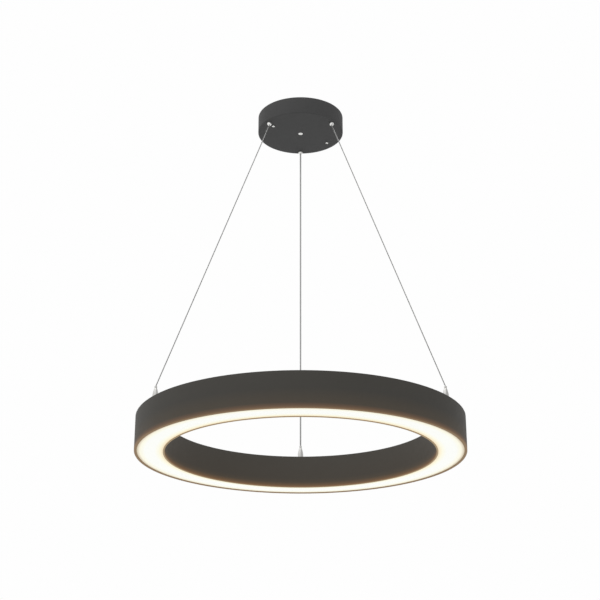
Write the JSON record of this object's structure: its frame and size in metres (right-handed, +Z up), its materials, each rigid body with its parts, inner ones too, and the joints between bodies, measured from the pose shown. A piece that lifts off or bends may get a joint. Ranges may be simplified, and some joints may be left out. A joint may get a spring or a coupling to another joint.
{
  "type": "led ring chandelier",
  "caption": "Pendant light: a lit ring with a dark channel and opal underside, hung from a round canopy by thin taut wires with bullet-shaped height grippers.",
  "frame": {"origin": "centre of the face that lies against the ceiling, on the ring's axis", "axes": "+Z up out of the ceiling face, the ring hangs below; +X to the viewer's right and +Y away from the viewer, towards the far wire"},
  "size_m": [0.6, 0.6, 0.6955],
  "materials": {
    "anthracite_steel": "matte",
    "anthracite_aluminium": "matte",
    "zinc_plated_steel": "satin",
    "black_rubber": "matte",
    "bright_nickel": "polished",
    "nickel_plated_brass": "satin",
    "steel_rope": "satin",
    "clad_power_wire": "satin",
    "driver_plastic": "matte",
    "circuit_board": "satin",
    "dark_component": "satin",
    "terminal_plastic": "matte",
    "lead_insulation": "satin",
    "bare_aluminium": "satin",
    "white_led_board": "satin",
    "led_chip": "gloss",
    "tinned_copper": "satin",
    "opal_diffuser": "satin",
    "spring_steel": "satin"
  },
  "bodies": {
    "canopy": {"ceiling_plate": "zinc_plated_steel", "plate_standoffs": "zinc_plated_steel", "cable_grommet": "black_rubber", "canopy_cup": "anthracite_steel", "canopy_screws": "bright_nickel", "centre_plug": "bright_nickel", "bushing_left": "nickel_plated_brass", "bushing_right": "nickel_plated_brass", "bushing_far": "nickel_plated_brass", "bushing_nuts": "nickel_plated_brass", "anchor_left": "steel_rope", "anchor_right": "steel_rope", "anchor_far": "steel_rope", "driver_case": "driver_plastic", "driver_cover": "driver_plastic", "driver_board": "circuit_board", "driver_parts": "dark_component", "driver_screws": "zinc_plated_steel", "terminal_block": "terminal_plastic", "terminal_screws": "zinc_plated_steel", "earth_stud": "zinc_plated_steel", "earth_nut": "zinc_plated_steel", "supply_leads": "lead_insulation", "output_lead": "lead_insulation", "wire_left": "steel_rope", "wire_right": "steel_rope", "wire_far": "clad_power_wire"},
    "ring": {"ring_housing": "anthracite_aluminium", "splice_plate": "bare_aluminium", "splice_screws": "zinc_plated_steel", "led_carrier": "bare_aluminium", "carrier_pillars": "zinc_plated_steel", "carrier_screws": "zinc_plated_steel", "led_board_1": "white_led_board", "led_board_2": "white_led_board", "led_board_3": "white_led_board", "led_board_4": "white_led_board", "led_chips": "led_chip", "board_jumpers": "tinned_copper", "feed_connector": "terminal_plastic", "feed_pins": "tinned_copper", "diffuser": "opal_diffuser", "gripper_barrel_left": "nickel_plated_brass", "gripper_barrel_right": "nickel_plated_brass", "gripper_barrel_far": "nickel_plated_brass", "gripper_nuts": "nickel_plated_brass", "wire_tail_left": "steel_rope", "wire_tail_right": "steel_rope", "wire_tail_far": "steel_rope", "gripper_spring_left": "spring_steel", "gripper_spring_right": "spring_steel", "gripper_spring_far": "spring_steel"},
    "release_left": {"gripper_plunger_left": "nickel_plated_brass", "gripper_balls_left": "spring_steel"},
    "release_right": {"gripper_plunger_right": "nickel_plated_brass", "gripper_balls_right": "spring_steel"},
    "release_far": {"gripper_plunger_far": "nickel_plated_brass", "gripper_balls_far": "spring_steel"}
  },
  "joints": [
    {"name": "ring_height", "type": "slide", "parent": "canopy", "child": "ring", "axis": [0, 0, 1], "range_m": [0, 0.3], "deforming": ["wire_left", "wire_right", "wire_far"]},
    {"name": "release_left_press", "type": "slide", "parent": "ring", "child": "release_left", "axis": [0, 0, -1], "range_m": [0, 0.002], "stiffness_N_per_m": 600, "springref_m": -0.002, "deforming": ["gripper_spring_left"]},
    {"name": "release_right_press", "type": "slide", "parent": "ring", "child": "release_right", "axis": [0, 0, -1], "range_m": [0, 0.002], "stiffness_N_per_m": 600, "springref_m": -0.002, "deforming": ["gripper_spring_right"]},
    {"name": "release_far_press", "type": "slide", "parent": "ring", "child": "release_far", "axis": [0, 0, -1], "range_m": [0, 0.002], "stiffness_N_per_m": 600, "springref_m": -0.002, "deforming": ["gripper_spring_far"]}
  ]
}
